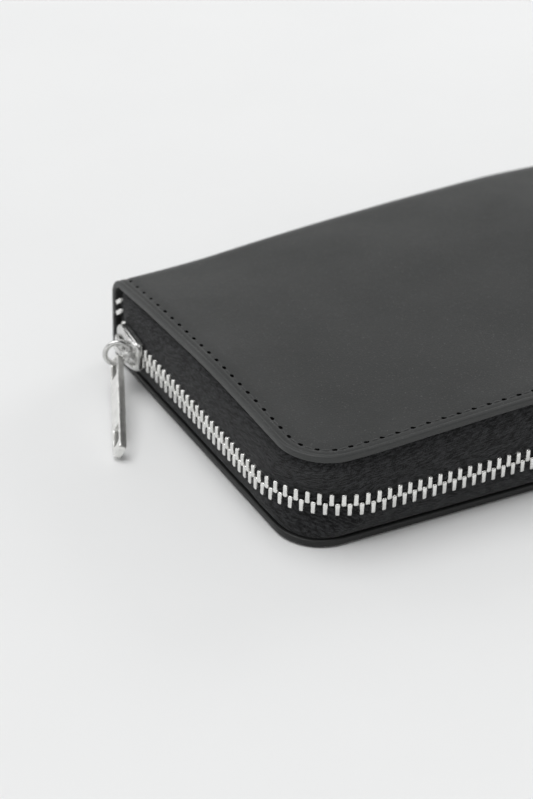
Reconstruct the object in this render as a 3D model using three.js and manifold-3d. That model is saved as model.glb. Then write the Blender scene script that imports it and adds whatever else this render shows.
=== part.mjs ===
// A zip-around long wallet, closed and lying flat.
// Millimetres, +Z up. The origin is the centre of the underside, the zip runs
// round the -X, -Y and +X sides, the spine is at +Y and the main slider is on
// the -X side near the spine.
import * as THREE from 'three';
import Module from 'manifold-3d';
import { mergeVertices } from 'three/addons/utils/BufferGeometryUtils.js';

const wasm = await Module();
wasm.setup();

// ---------------------------------------------------------------- dimensions

const LENGTH = 190;            // leather outline along X
const DEPTH = 96;              // leather outline along Y, zip side to spine
const THICKNESS = 23.3;        // closed height at the edges
const LEATHER = 1.6;           // turned-edge outer leather
const CROWN = 5.5;              // how far the filled upper cover domes above its edges
const CORNER_RADIUS = 11;      // leather corners on the zip side
const GAP = 0.3;               // clearance between neighbouring solids

const HALF = LENGTH / 2;
const FRONT = -DEPTH / 2;
const BACK = DEPTH / 2;
const MIDDLE = THICKNESS / 2;
const SPINE_FOLD_Y = BACK - 2;  // where the covers end and the spine begins
const SPINE_ROUND = 4;          // outer radius of the spine's two edges

const TAPE = 0.5;               // zip tape thickness
const TAPE_FLANGE = 4;          // width sewn between the leather and the lining
const TAPE_BACK = 43.5;         // how far the tapes run towards the spine
const ZIP_HEIGHT = 10;          // centre of the tooth chain above the table
const ZIP_RADIUS = 19.5;        // the chain turns the corners more gently
const CHAIN_OUT = 0.3;          // chain mid-plane beyond the leather edge
const TOOTH_PITCH = 2.5;
const TOOTH_WIDTH = 1.05;       // along the chain
const TOOTH_DEPTH = 2.4;        // through the tape
const CHAIN_HALF_WIDTH = 2.65;  // from the centre to the foot of a tooth
const TOOTH_REACH = 0.4;        // how far a tooth reaches past the centre
const CORD = 1.4;               // height of the bead that carries the teeth

const LINING = 0.6;
const PANEL = 0.8;
const SLOT_SHEET = 0.6;
const SLOT_COUNT = 3;
const SLOT_STEP = 11;           // each card slot opens this far below the last
const LINING_INSET = 5.8;       // from the leather edge
const LINING_BACK = 43.5;
const PANEL_HALF = 88;

const POCKET_HALF = 82;         // coin pocket half length
const POCKET_WALL = 0.6;
const POCKET_FRONT = -37;
const POCKET_BACK = 44.6;
const POCKET_HALF_HEIGHT = 2.75;
const COIN_CHAIN_HALF = 78;
const COIN_CHAIN_Y = -40.2;     // mid-plane of the coin zip's teeth

const SLIDER_Y = 33.5;          // main slider centre at rest
const COIN_SLIDER_X = -68;      // coin slider centre at rest
const RING_RADIUS = 2.9;        // centre line of the pull ring
const RING_WIRE = 0.5;
const BAR_LENGTH = 34;
const BAR_WIDTH = 4;
const BAR_THICKNESS = 1.9;
const BAR_SLOT_WIDTH = 3;

// ----------------------------------------------------------------- materials

const leather = new THREE.MeshStandardMaterial({ color: 0x3a3b3c, roughness: 0.55, metalness: 0 });
const lining = new THREE.MeshStandardMaterial({ color: 0x232426, roughness: 0.75, metalness: 0 });
const tapeCloth = new THREE.MeshStandardMaterial({ color: 0x141516, roughness: 0.9, metalness: 0 });
const silver = new THREE.MeshStandardMaterial({ color: 0xd8d8d4, roughness: 0.2, metalness: 1 });

const wallet = new THREE.Group();

function add(name, geometry, material, parent = wallet) {
  const mesh = new THREE.Mesh(geometry, material);
  mesh.name = name;
  parent.add(mesh);
  return mesh;
}

// ------------------------------------------------------------ shape building

// Turns a closed triangle list so that its faces point outwards.
function outward(points, triangles) {
  const a = new THREE.Vector3();
  let volume = 0;
  for (const [i, j, k] of triangles) volume += a.copy(points[i]).cross(points[j]).dot(points[k]);
  const faces = volume < 0 ? triangles.map(([i, j, k]) => [i, k, j]) : triangles;
  const geometry = new THREE.BufferGeometry().setFromPoints(points);
  geometry.setIndex(faces.flat());
  return geometry;
}

// A closed solid between two equal grids of points, rows[i][j].
function thickSheet(outer, inner) {
  const rows = outer.length;
  const columns = outer[0].length;
  const points = [...outer.flat(), ...inner.flat()];
  const triangles = [];
  const at = (layer, i, j) => layer * rows * columns + i * columns + j;
  const quad = (a, b, c, d) => triangles.push([a, b, c], [a, c, d]);
  for (let i = 0; i < rows - 1; i++) {
    for (let j = 0; j < columns - 1; j++) {
      quad(at(0, i, j), at(0, i + 1, j), at(0, i + 1, j + 1), at(0, i, j + 1));
      quad(at(1, i, j), at(1, i, j + 1), at(1, i + 1, j + 1), at(1, i + 1, j));
    }
    quad(at(0, i, 0), at(1, i, 0), at(1, i + 1, 0), at(0, i + 1, 0));
    const last = columns - 1;
    quad(at(0, i, last), at(0, i + 1, last), at(1, i + 1, last), at(1, i, last));
  }
  for (let j = 0; j < columns - 1; j++) {
    quad(at(0, 0, j), at(0, 0, j + 1), at(1, 0, j + 1), at(1, 0, j));
    const last = rows - 1;
    quad(at(0, last, j), at(1, last, j), at(1, last, j + 1), at(0, last, j + 1));
  }
  return outward(points, triangles);
}

function box(x0, x1, y0, y1, z0, z1) {
  const geometry = new THREE.BoxGeometry(x1 - x0, y1 - y0, z1 - z0);
  return geometry.translate((x0 + x1) / 2, (y0 + y1) / 2, (z0 + z1) / 2);
}

function plate(shape, z0, thickness) {
  const geometry = new THREE.ExtrudeGeometry(shape, {
    depth: thickness, bevelEnabled: false, curveSegments: 8,
  });
  return geometry.translate(0, 0, z0);
}

function asSolid(geometry) {
  const bare = geometry.clone();
  bare.deleteAttribute('normal');
  bare.deleteAttribute('uv');
  const merged = mergeVertices(bare, 1e-4);
  return new wasm.Manifold(new wasm.Mesh({
    numProp: 3,
    vertProperties: new Float32Array(merged.attributes.position.array),
    triVerts: new Uint32Array(merged.index.array),
  }));
}

function asGeometry(solid) {
  const mesh = solid.getMesh();
  const geometry = new THREE.BufferGeometry();
  geometry.setAttribute('position', new THREE.BufferAttribute(mesh.vertProperties, 3));
  geometry.setIndex(new THREE.BufferAttribute(mesh.triVerts, 1));
  return geometry;
}

function joined(...geometries) {
  return asGeometry(geometries.map(asSolid).reduce((all, next) => all.add(next)));
}

function cut(geometry, ...tools) {
  return asGeometry(tools.map(asSolid).reduce((rest, tool) => rest.subtract(tool), asSolid(geometry)));
}

// A rectangle whose two corners on the zip side are rounded.
function roundedFront(half, front, back, radius) {
  const shape = new THREE.Shape();
  shape.moveTo(half, back);
  shape.lineTo(-half, back);
  shape.lineTo(-half, front + radius);
  shape.absarc(-half + radius, front + radius, radius, Math.PI, 1.5 * Math.PI, false);
  shape.lineTo(half - radius, front);
  shape.absarc(half - radius, front + radius, radius, 1.5 * Math.PI, 2 * Math.PI, false);
  shape.closePath();
  return shape;
}

// The tooth rows part inside the main slider and turn away beyond its mouth,
// so the -X side is described at the places where the rows change direction.
const SLIDER_HALF = 6.5;
const mouthY = SLIDER_Y + SLIDER_HALF;
const throatY = SLIDER_Y + 2;
const partingY = SLIDER_Y - 3.5;
const PARTING_SLOPE = 0.2;
const THROAT_SLOPE = 0.1;
const UPPER_TURN_SLOPE = 1.6;
const LOWER_TURN_SLOPE = 0.6;   // the lower row has little room under it
const TAPE_LEAD = 0.6;          // the tapes turn away just ahead of the rows
const sideYs = [TAPE_BACK, mouthY, throatY, partingY, 12, -8];

// How far a row has moved from its closed place, at y on the -X side.
// up is true for the upper cover's row.
function rowSpread(y, up) {
  const throatSpread = PARTING_SLOPE * (throatY - partingY);
  const mouthSpread = throatSpread + THROAT_SLOPE * (mouthY - throatY);
  if (y < partingY) return 0;
  if (y < throatY) return PARTING_SLOPE * (y - partingY);
  if (y < mouthY) return throatSpread + THROAT_SLOPE * (y - throatY);
  return mouthSpread + (up ? UPPER_TURN_SLOPE : LOWER_TURN_SLOPE) * (y - mouthY);
}

// Points and outward directions round the three zip sides, starting at -X.
function zipSides(half, front, radius, arcCount = 7, frontCount = 9) {
  const stations = [];
  const push = (x, y, angle) => stations.push({
    point: new THREE.Vector2(x, y),
    out: new THREE.Vector2(Math.cos(angle), Math.sin(angle)),
  });
  const cornerY = front + radius;
  for (const y of sideYs) push(-half, y, Math.PI);
  for (let i = 0; i < arcCount; i++) {
    const angle = Math.PI * (1 + 0.5 * i / (arcCount - 1));
    push(-half + radius * (1 + Math.cos(angle)), cornerY + radius * Math.sin(angle), angle);
  }
  for (let i = 1; i < frontCount; i++) {
    push(THREE.MathUtils.lerp(radius - half, half - radius, i / frontCount), front, 1.5 * Math.PI);
  }
  for (let i = 0; i < arcCount; i++) {
    const angle = Math.PI * (1.5 + 0.5 * i / (arcCount - 1));
    push(half + radius * (Math.cos(angle) - 1), cornerY + radius * Math.sin(angle), angle);
  }
  for (const y of sideYs.toReversed()) push(half, y, 0);
  return stations;
}

// A stepped row: a bead with a tooth on it at every pitch.
// place(distance, depth, height) maps the row onto its path.
function toothedRow(count, firstTooth, place) {
  const points = [];
  const triangles = [];
  const quad = (a, b, c, d) => triangles.push([a, b, c], [a, c, d]);
  const tip = CHAIN_HALF_WIDTH + TOOTH_REACH;
  const heights = [0, CORD, tip];
  const stationAt = [];
  for (let i = 0; i < count; i++) {
    const start = firstTooth + i * TOOTH_PITCH;
    stationAt.push(start, start + TOOTH_WIDTH);
  }
  for (const distance of stationAt) {
    for (const side of [-0.5, 0.5]) {
      for (const height of heights) points.push(place(distance, side * TOOTH_DEPTH, height));
    }
  }
  const at = (station, side, level) => station * 6 + side * 3 + level;
  for (let s = 0; s < stationAt.length - 1; s++) {
    const top = s % 2 === 0 ? 2 : 1;
    quad(at(s, 0, 0), at(s, 1, 0), at(s + 1, 1, 0), at(s + 1, 0, 0));
    quad(at(s, 0, top), at(s + 1, 0, top), at(s + 1, 1, top), at(s, 1, top));
    for (let level = 0; level < top; level++) {
      quad(at(s, 0, level), at(s + 1, 0, level), at(s + 1, 0, level + 1), at(s, 0, level + 1));
      quad(at(s, 1, level), at(s, 1, level + 1), at(s + 1, 1, level + 1), at(s + 1, 1, level));
    }
    if (top === 2 && s > 0) quad(at(s, 0, 1), at(s, 0, 2), at(s, 1, 2), at(s, 1, 1));
    if (top === 2 && s < stationAt.length - 2) {
      quad(at(s + 1, 0, 1), at(s + 1, 1, 1), at(s + 1, 1, 2), at(s + 1, 0, 2));
    }
  }
  const end = stationAt.length - 1;
  for (let level = 0; level < 2; level++) {
    quad(at(0, 0, level), at(0, 0, level + 1), at(0, 1, level + 1), at(0, 1, level));
    quad(at(end, 0, level), at(end, 1, level), at(end, 1, level + 1), at(end, 0, level + 1));
  }
  return outward(points, triangles);
}

// --------------------------------------------------------------- outer leather

// Height of the dome over the filled wallet, zero along the whole edge.
function crownAt(x, y) {
  const along = Math.max(0, 1 - (x / HALF) ** 2);
  const across = Math.max(0, 1 - (y / (SPINE_FOLD_Y - GAP / 2)) ** 2);
  return CROWN * along * across ** 0.6;
}

function domedCover() {
  const columns = 10;
  const stations = [];
  const arcSteps = 6;
  for (let i = 0; i <= arcSteps; i++) {
    stations.push(-HALF + CORNER_RADIUS * (1 - Math.cos(0.5 * Math.PI * i / arcSteps)));
  }
  for (let i = 1; i < 10; i++) {
    stations.push(THREE.MathUtils.lerp(CORNER_RADIUS - HALF, HALF - CORNER_RADIUS, i / 10));
  }
  for (let i = arcSteps; i >= 0; i--) {
    stations.push(HALF - CORNER_RADIUS * (1 - Math.cos(0.5 * Math.PI * i / arcSteps)));
  }
  const edgeY = (x) => {
    const into = Math.max(0, Math.abs(x) - (HALF - CORNER_RADIUS));
    return FRONT + CORNER_RADIUS - Math.sqrt(Math.max(0, CORNER_RADIUS ** 2 - into ** 2));
  };
  const top = stations.map((x) => Array.from({ length: columns }, (_, j) => {
    const y = THREE.MathUtils.lerp(edgeY(x), SPINE_FOLD_Y - GAP / 2, j / (columns - 1));
    return new THREE.Vector3(x, y, THICKNESS + crownAt(x, y));
  }));
  const under = top.map((row) => row.map((p) => p.clone().setZ(p.z - LEATHER)));
  return thickSheet(top, under);
}

// The spine is a shallow channel whose two edges turn in to meet the covers.
function spineLeather() {
  const start = SPINE_FOLD_Y + GAP / 2;
  const reach = BACK - start;
  const turnSteps = 6;
  const quarter = Array.from({ length: turnSteps + 1 }, (_, i) => i / turnSteps * Math.PI / 2);
  const outer = quarter.map((angle) => [
    start + reach * Math.sin(angle), SPINE_ROUND * (1 - Math.cos(angle)),
  ]);
  const inner = quarter.map((angle) => [
    start + (reach - LEATHER) * Math.sin(angle),
    LEATHER + (SPINE_ROUND - LEATHER) * (1 - Math.cos(angle)),
  ]);
  const mirrored = (line) => [...line, ...line.map(([y, z]) => [y, THICKNESS - z]).reverse()];
  const sheet = (line) => [-HALF, HALF].map(
    (x) => mirrored(line).map(([y, z]) => new THREE.Vector3(x, y, z)),
  );
  return thickSheet(sheet(outer), sheet(inner));
}

const coverShape = roundedFront(HALF, FRONT, SPINE_FOLD_Y - GAP / 2, CORNER_RADIUS);
add('lower_cover', plate(coverShape, 0, LEATHER), leather);
add('upper_cover', domedCover(), leather);
add('spine_leather', spineLeather(), leather);

// ----------------------------------------------- linings, panels, card slots

// Stacks the flat inner sheets of one half from its leather inwards.
function innerSheets(half, heightOf) {
  const sheet = (name, width, front, back, radius, depth, thickness) => {
    const z = heightOf(depth, thickness);
    add(name, plate(roundedFront(width, front, back, radius), z, thickness), lining);
  };
  let depth = LEATHER + GAP;
  const front = FRONT + LINING_INSET;
  sheet(`${half}_lining`, HALF - LINING_INSET, front, LINING_BACK, 6, depth, LINING);
  depth += LINING + GAP;
  sheet(`${half}_bill_panel`, PANEL_HALF, front + 1, LINING_BACK - 1, 5, depth, PANEL);
  depth += PANEL + GAP;
  for (let i = 0; i < SLOT_COUNT; i++) {
    const slotFront = front + 6 + (i + 1) * SLOT_STEP;
    sheet(`${half}_card_slot_${i + 1}`, PANEL_HALF - 1, slotFront, LINING_BACK - 2, 1.5,
      depth, SLOT_SHEET);
    depth += SLOT_SHEET + GAP;
  }
  return depth;
}

const sheetStack = innerSheets('lower', (depth) => depth);
innerSheets('upper', (depth, thickness) => THICKNESS - depth - thickness);

const spineLiningY = 45.2;
const spineLiningEnd = LEATHER + 2;
add('spine_lining', box(-HALF + LINING_INSET, HALF - LINING_INSET,
  spineLiningY, spineLiningY + LINING, spineLiningEnd, THICKNESS - spineLiningEnd), lining);

// ------------------------------------------------------------------ main zip

const leatherEdge = zipSides(HALF, FRONT, CORNER_RADIUS);
const chainEdge = zipSides(HALF + CHAIN_OUT, FRONT - CHAIN_OUT, ZIP_RADIUS);

// One tape: a flange under the leather, turned down to the foot of the teeth.
function zipTape(flangeZ, inwards, footZ) {
  const line = (flangeOffset, bendOffset, chainOffset, z) => leatherEdge.map((edge, i) => {
    const chain = chainEdge[i];
    const spread = chain.point.x < 0 ? rowSpread(chain.point.y + TAPE_LEAD, inwards < 0) : 0;
    const foot = footZ - inwards * spread;
    const at = (base, offset, height) => new THREE.Vector3(
      base.point.x + base.out.x * offset, base.point.y + base.out.y * offset, height,
    );
    return [at(edge, flangeOffset, z), at(edge, bendOffset, z), at(chain, chainOffset, foot)];
  });
  const outer = line(-1 - TAPE_FLANGE, -1, TAPE / 2, flangeZ);
  const inner = line(-1 - TAPE_FLANGE, -1 - TAPE, -TAPE / 2, flangeZ + inwards * TAPE);
  return thickSheet(outer, inner);
}

const tapeFoot = CHAIN_HALF_WIDTH + GAP;
add('lower_zip_tape', zipTape(LEATHER + GAP, 1, ZIP_HEIGHT - tapeFoot), tapeCloth);
add('upper_zip_tape', zipTape(THICKNESS - LEATHER - GAP, -1, ZIP_HEIGHT + tapeFoot), tapeCloth);

// The chain's path, at the mid-plane of the teeth.
const chainPath = new THREE.Path();
const chainHalf = HALF + CHAIN_OUT;
const chainFront = FRONT - CHAIN_OUT;
const chainStartY = 42.5;
chainPath.moveTo(-chainHalf, chainStartY);
chainPath.lineTo(-chainHalf, chainFront + ZIP_RADIUS);
chainPath.absarc(ZIP_RADIUS - chainHalf, chainFront + ZIP_RADIUS, ZIP_RADIUS,
  Math.PI, 1.5 * Math.PI, false);
chainPath.lineTo(chainHalf - ZIP_RADIUS, chainFront);
chainPath.absarc(chainHalf - ZIP_RADIUS, chainFront + ZIP_RADIUS, ZIP_RADIUS,
  1.5 * Math.PI, 2 * Math.PI, false);
chainPath.lineTo(chainHalf, chainStartY);
const chainLength = chainPath.getLength();

function placeOnChain(direction) {
  return (distance, depth, height) => {
    const u = THREE.MathUtils.clamp(distance / chainLength, 0, 1);
    const point = chainPath.getPointAt(u);
    const tangent = chainPath.getTangentAt(u);
    const spread = point.x < 0 ? rowSpread(point.y, direction < 0) : 0;
    const foot = -direction * (CHAIN_HALF_WIDTH + spread);
    return new THREE.Vector3(
      point.x + tangent.y * depth,
      point.y - tangent.x * depth,
      ZIP_HEIGHT + foot + direction * height,
    );
  };
}

const mainTeeth = Math.floor((chainLength - 2) / TOOTH_PITCH);
add('lower_zip_teeth', toothedRow(mainTeeth, 0.2, placeOnChain(1)), silver);
add('upper_zip_teeth', toothedRow(mainTeeth, 0.2 + TOOTH_PITCH / 2, placeOnChain(-1)), silver);

// Metal stops close the two rows at the +X end, beyond the last teeth.
const stopY = chainStartY + GAP;
add('zip_end_stop', box(chainHalf - TOOTH_DEPTH / 2, chainHalf + TOOTH_DEPTH / 2,
  stopY, stopY + 2.2, ZIP_HEIGHT - 2.2, ZIP_HEIGHT + 2.2), silver);

// ------------------------------------------------------------------- sliders

// A slider about its own centre: +x towards the mouth, +y across, +z outwards,
// with the chain's outer face at z = 0. Two wings are joined by a wedge that parts
// the rows, rims turn in at both edges and a bail arches over the outer wing.
function sliderBody() {
  const tail = 3.7;             // half width where the closed chain comes out
  const shoulder = 5.2;         // half width at the mouth
  const shoulderFrom = 1.5;
  const shoulderTo = 4.6;
  const nose = 5.6;
  const wing = 0.8;
  const clear = 0.2;
  const rim = 0.5;
  const outline = new THREE.Shape();
  outline.moveTo(-SLIDER_HALF, -tail);
  outline.lineTo(shoulderFrom, -shoulder);
  outline.lineTo(shoulderTo, -shoulder);
  outline.quadraticCurveTo(SLIDER_HALF, -shoulder, SLIDER_HALF, -shoulder / 2);
  outline.lineTo(nose, 0);
  outline.lineTo(SLIDER_HALF, shoulder / 2);
  outline.quadraticCurveTo(SLIDER_HALF, shoulder, shoulderTo, shoulder);
  outline.lineTo(shoulderFrom, shoulder);
  outline.lineTo(-SLIDER_HALF, tail);
  outline.closePath();
  const innerBase = -TOOTH_DEPTH - clear - wing;
  const outerWing = plate(outline, clear, wing);
  const innerWing = plate(outline, innerBase, wing);
  const post = new THREE.Shape();
  post.moveTo(2.2, 0);
  post.lineTo(nose - 0.2, -rim);
  post.lineTo(nose - 0.2, rim);
  post.closePath();
  const wedge = plate(post, innerBase + wing / 2, TOOTH_DEPTH + 2 * clear + wing);
  const rims = [-1, 1].map((side) => {
    const edge = new THREE.Shape();
    edge.moveTo(-SLIDER_HALF, side * tail);
    edge.lineTo(shoulderFrom, side * shoulder);
    edge.lineTo(shoulderTo - 1.2, side * shoulder);
    edge.lineTo(shoulderTo - 1.2, side * (shoulder - rim));
    edge.lineTo(shoulderFrom, side * (shoulder - rim));
    edge.lineTo(-SLIDER_HALF, side * (tail - rim));
    edge.closePath();
    return plate(edge, -rim, clear + wing / 2 + rim);
  });
  return joined(outerWing, innerWing, wedge, ...rims, bail(clear + wing / 2));
}

// The arch that the pull hangs from, with its feet at height base on the wing.
function bail(base) {
  const legOuter = 3.9;
  const leg = 0.9;
  const top = 3.9;
  const bridge = 1;
  const width = 1;
  const arch = new THREE.Shape();
  arch.moveTo(-legOuter, base);
  arch.lineTo(-legOuter, top - 1.3);
  arch.quadraticCurveTo(-legOuter + 0.2, top, legOuter / -2, top);
  arch.lineTo(legOuter / 2, top);
  arch.quadraticCurveTo(legOuter - 0.2, top, legOuter, top - 1.3);
  arch.lineTo(legOuter, base);
  arch.lineTo(legOuter - leg, base);
  arch.lineTo(legOuter - leg, top - bridge);
  arch.lineTo(leg - legOuter, top - bridge);
  arch.lineTo(leg - legOuter, base);
  arch.closePath();
  return plate(arch, -width / 2, width).rotateX(Math.PI / 2);
}

// A frame whose x is the way to the slider's mouth and whose z points outwards.
function zipFrame(origin, mouth, out) {
  const across = new THREE.Vector3().crossVectors(out, mouth);
  const group = new THREE.Group();
  const basis = new THREE.Matrix4().makeBasis(mouth, across, out);
  group.quaternion.setFromRotationMatrix(basis);
  group.position.copy(origin);
  wallet.add(group);
  return group;
}

const toothFace = HALF + CHAIN_OUT + TOOTH_DEPTH / 2;
const mainFrame = zipFrame(
  new THREE.Vector3(-toothFace, SLIDER_Y, ZIP_HEIGHT),
  new THREE.Vector3(0, 1, 0), new THREE.Vector3(-1, 0, 0),
);
add('main_slider', sliderBody(), silver, mainFrame);

// The pull: a round ring through the slider's bail and a long flat bar that
// leans away from the wallet with its free end on the table. The ring stands
// upright, turned a little towards the way the bar faces.
const RING_TURN = 0.3;
const ringCentre = new THREE.Vector3(-100.9, SLIDER_Y - 1.6, ZIP_HEIGHT + 0.15);
const ringNormal = new THREE.Vector3(-Math.sin(RING_TURN), -Math.cos(RING_TURN), 0);
const ring = add('pull_ring', new THREE.TorusGeometry(RING_RADIUS, RING_WIRE, 10, 32), silver);
ring.position.copy(ringCentre);
ring.quaternion.setFromUnitVectors(new THREE.Vector3(0, 0, 1), ringNormal);

// The bar hangs from the ring's lowest point and stands on its long edge.
const barPivot = ringCentre.clone().setZ(ringCentre.z - RING_RADIUS);
const barAway = new THREE.Vector3(-0.385, -0.9, -0.155).normalize();
const barFace = new THREE.Vector3(-0.88, 0.27, 0.42);
barFace.addScaledVector(barAway, -barFace.dot(barAway)).normalize();
const barUp = new THREE.Vector3().crossVectors(barFace, barAway);

function roundedBar(length, width, radius, startRadius = radius) {
  const shape = new THREE.Shape();
  const half = width / 2;
  shape.moveTo(startRadius, -half);
  shape.lineTo(length - radius, -half);
  shape.quadraticCurveTo(length, -half, length, radius - half);
  shape.lineTo(length, half - radius);
  shape.quadraticCurveTo(length, half, length - radius, half);
  shape.lineTo(startRadius, half);
  shape.quadraticCurveTo(0, half, 0, half - startRadius);
  shape.lineTo(0, startRadius - half);
  shape.quadraticCurveTo(0, -half, startRadius, -half);
  return shape;
}

// The bar lies along its own x from its upper end, with a slot near each end.
function pullBar() {
  const outline = roundedBar(BAR_LENGTH, BAR_WIDTH, 0.9, 1.9);
  const bar = plate(outline, -BAR_THICKNESS / 2, BAR_THICKNESS);
  const slot = (from, to) => box(from, to, -BAR_SLOT_WIDTH / 2, BAR_SLOT_WIDTH / 2,
    -BAR_THICKNESS, BAR_THICKNESS);
  return cut(bar, slot(1.1, 7.5), slot(BAR_LENGTH - 9, BAR_LENGTH - 2.6));
}

const PIVOT_FROM_END = 2.1;
const railDrop = 0.1;
const bar = add('pull_bar', pullBar(), silver);
bar.quaternion.setFromRotationMatrix(new THREE.Matrix4().makeBasis(barAway, barUp, barFace));
bar.position.copy(barPivot).addScaledVector(barAway, -PIVOT_FROM_END)
  .addScaledVector(barUp, -railDrop);

// --------------------------------------------------------- centre coin pocket

const pocketShape = roundedFront(POCKET_HALF, POCKET_FRONT, POCKET_BACK, 3);
add('pocket_lower_wall',
  plate(pocketShape, MIDDLE - POCKET_HALF_HEIGHT, POCKET_WALL), lining);
add('pocket_upper_wall',
  plate(pocketShape, MIDDLE + POCKET_HALF_HEIGHT - POCKET_WALL, POCKET_WALL), lining);

const COIN_SCALE = 0.85;        // the coin zip is one size smaller

// Each coin tape starts at its teeth, passes outside the slider's edge and folds
// back on to the pocket's wall. The profile is drawn in Y and Z, then run along X.
function coinTape(side) {
  const teethFoot = CHAIN_HALF_WIDTH * COIN_SCALE + 0.05;
  const crest = 4.8;
  const wallTop = POCKET_HALF_HEIGHT + 0.05;
  const frontY = COIN_CHAIN_Y - TAPE / 2;
  const turnY = POCKET_FRONT + 0.1;
  const backY = POCKET_FRONT + 5;
  const outline = [
    [frontY, teethFoot], [frontY, crest + TAPE], [turnY + TAPE, crest + TAPE],
    [turnY + TAPE, wallTop + TAPE], [backY, wallTop + TAPE], [backY, wallTop],
    [turnY, wallTop], [turnY, crest], [frontY + TAPE, crest], [frontY + TAPE, teethFoot],
  ].map(([y, z]) => new THREE.Vector2(y, MIDDLE + side * z));
  const run = plate(new THREE.Shape(outline), 1 - POCKET_HALF, 2 * (POCKET_HALF - 1));
  return run.applyMatrix4(new THREE.Matrix4().makeBasis(
    new THREE.Vector3(0, 1, 0), new THREE.Vector3(0, 0, 1), new THREE.Vector3(1, 0, 0),
  ));
}
add('pocket_lower_tape', coinTape(-1), tapeCloth);
add('pocket_upper_tape', coinTape(1), tapeCloth);

function placeOnPocket(direction) {
  return (distance, depth, height) => new THREE.Vector3(
    distance * COIN_SCALE - COIN_CHAIN_HALF,
    COIN_CHAIN_Y + depth * COIN_SCALE,
    MIDDLE - direction * (CHAIN_HALF_WIDTH - height) * COIN_SCALE,
  );
}

function coinRow(direction, first) {
  const sliderFrom = (COIN_SLIDER_X - 1 + COIN_CHAIN_HALF) / COIN_SCALE;
  const skipped = Math.ceil(sliderFrom / TOOTH_PITCH);
  const count = Math.floor(2 * COIN_CHAIN_HALF / COIN_SCALE / TOOTH_PITCH) - skipped;
  return toothedRow(count, first + skipped * TOOTH_PITCH, placeOnPocket(direction));
}

add('pocket_lower_teeth', coinRow(1, 0.2), silver);
add('pocket_upper_teeth', coinRow(-1, 0.2 + TOOTH_PITCH / 2), silver);

const coinFace = COIN_CHAIN_Y - COIN_SCALE * TOOTH_DEPTH / 2;
const coinFrame = zipFrame(
  new THREE.Vector3(COIN_SLIDER_X, coinFace, MIDDLE),
  new THREE.Vector3(-1, 0, 0), new THREE.Vector3(0, -1, 0),
);
coinFrame.scale.setScalar(COIN_SCALE);
add('coin_slider', sliderBody(), silver, coinFrame);

// A one-piece tab: its top bar sits under the bail, the rest lies on the chain.
function coinPull() {
  const tab = plate(roundedBar(19, 4.6, 1.2), -0.5, 1).rotateZ(Math.PI);
  const eye = box(-4.6, -1.1, -1.2, 1.2, -1, 1);
  return cut(tab, eye).translate(0.55, 0, 2.2);
}
add('coin_pull', coinPull(), silver, coinFrame);

add('pocket_stop', box(COIN_CHAIN_HALF + GAP, COIN_CHAIN_HALF + 2.2,
  coinFace, coinFace + 2, MIDDLE - 2, MIDDLE + 2), silver);

// -------------------------------------------------------------------- gussets

// Soft side folds that join each half to the pocket and stop it opening flat.
function gusset(side, base, direction) {
  const outerX = PANEL_HALF + 1.6;
  const foldX = PANEL_HALF - 12;
  const frontY = FRONT + 16;
  const backY = 42;
  const heights = [0.25, 0.85, 1.45];
  const thickness = 0.4;
  const line = (lift) => [frontY, backY].map((y) => [outerX, foldX, outerX].map(
    (x, i) => new THREE.Vector3(side * x, y, base + direction * (heights[i] + lift[i])),
  ));
  const nearer = line([0, 0, thickness]);
  const farther = line([thickness, 0, 0]);
  nearer.forEach((row) => row[1].setX(row[1].x - side * thickness));
  farther.forEach((row) => row[1].setX(row[1].x + side * thickness));
  return thickSheet(nearer, farther);
}

for (const [sideName, side] of [['left', -1], ['right', 1]]) {
  add(`${sideName}_lower_gusset`, gusset(side, sheetStack, 1), lining);
  add(`${sideName}_upper_gusset`, gusset(side, THICKNESS - sheetStack, -1), lining);
}

export default wallet;
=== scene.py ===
# A zip-around long wallet, closed and lying flat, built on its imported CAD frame.
# Lengths are worked out in millimetres and turned into metres when a mesh is made.
# X runs along the long side, Y from the zip's mouth to the spine, and Z up from the table.
import math

import bmesh
import bpy
from mathutils import Matrix, Vector, noise


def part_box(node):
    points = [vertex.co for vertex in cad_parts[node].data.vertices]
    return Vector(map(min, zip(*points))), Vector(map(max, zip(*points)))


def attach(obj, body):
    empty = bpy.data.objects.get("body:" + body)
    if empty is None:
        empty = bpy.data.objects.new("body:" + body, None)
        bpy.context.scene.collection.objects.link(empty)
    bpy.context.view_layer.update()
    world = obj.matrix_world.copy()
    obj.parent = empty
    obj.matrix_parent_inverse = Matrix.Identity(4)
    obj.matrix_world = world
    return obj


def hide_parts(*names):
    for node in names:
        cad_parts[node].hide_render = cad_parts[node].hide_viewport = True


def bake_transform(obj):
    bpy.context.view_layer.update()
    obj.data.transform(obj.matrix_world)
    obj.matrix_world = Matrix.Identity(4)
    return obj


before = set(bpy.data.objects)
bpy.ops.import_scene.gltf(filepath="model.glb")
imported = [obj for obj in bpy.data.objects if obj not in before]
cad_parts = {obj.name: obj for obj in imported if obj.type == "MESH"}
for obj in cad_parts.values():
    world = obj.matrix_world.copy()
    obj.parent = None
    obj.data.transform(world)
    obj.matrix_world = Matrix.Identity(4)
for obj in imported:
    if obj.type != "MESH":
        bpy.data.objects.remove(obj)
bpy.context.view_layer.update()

MM = 0.001


# ---- dimensions ----

def node_box(name):
    """Lowest and highest corner of a CAD node, in millimetres."""
    low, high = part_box(name)
    return low / MM, high / MM


COVER_LOW, COVER_HIGH = node_box("lower_cover")

HALF = COVER_HIGH.x
FRONT = COVER_LOW.y
BACK = node_box("spine_leather")[1].y
THICKNESS = node_box("upper_cover")[0].z + COVER_HIGH.z
MIDDLE = THICKNESS / 2
CORNER_RADIUS = 11
LEATHER = 1.7
RIM_WIDTH = 1.1

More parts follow.
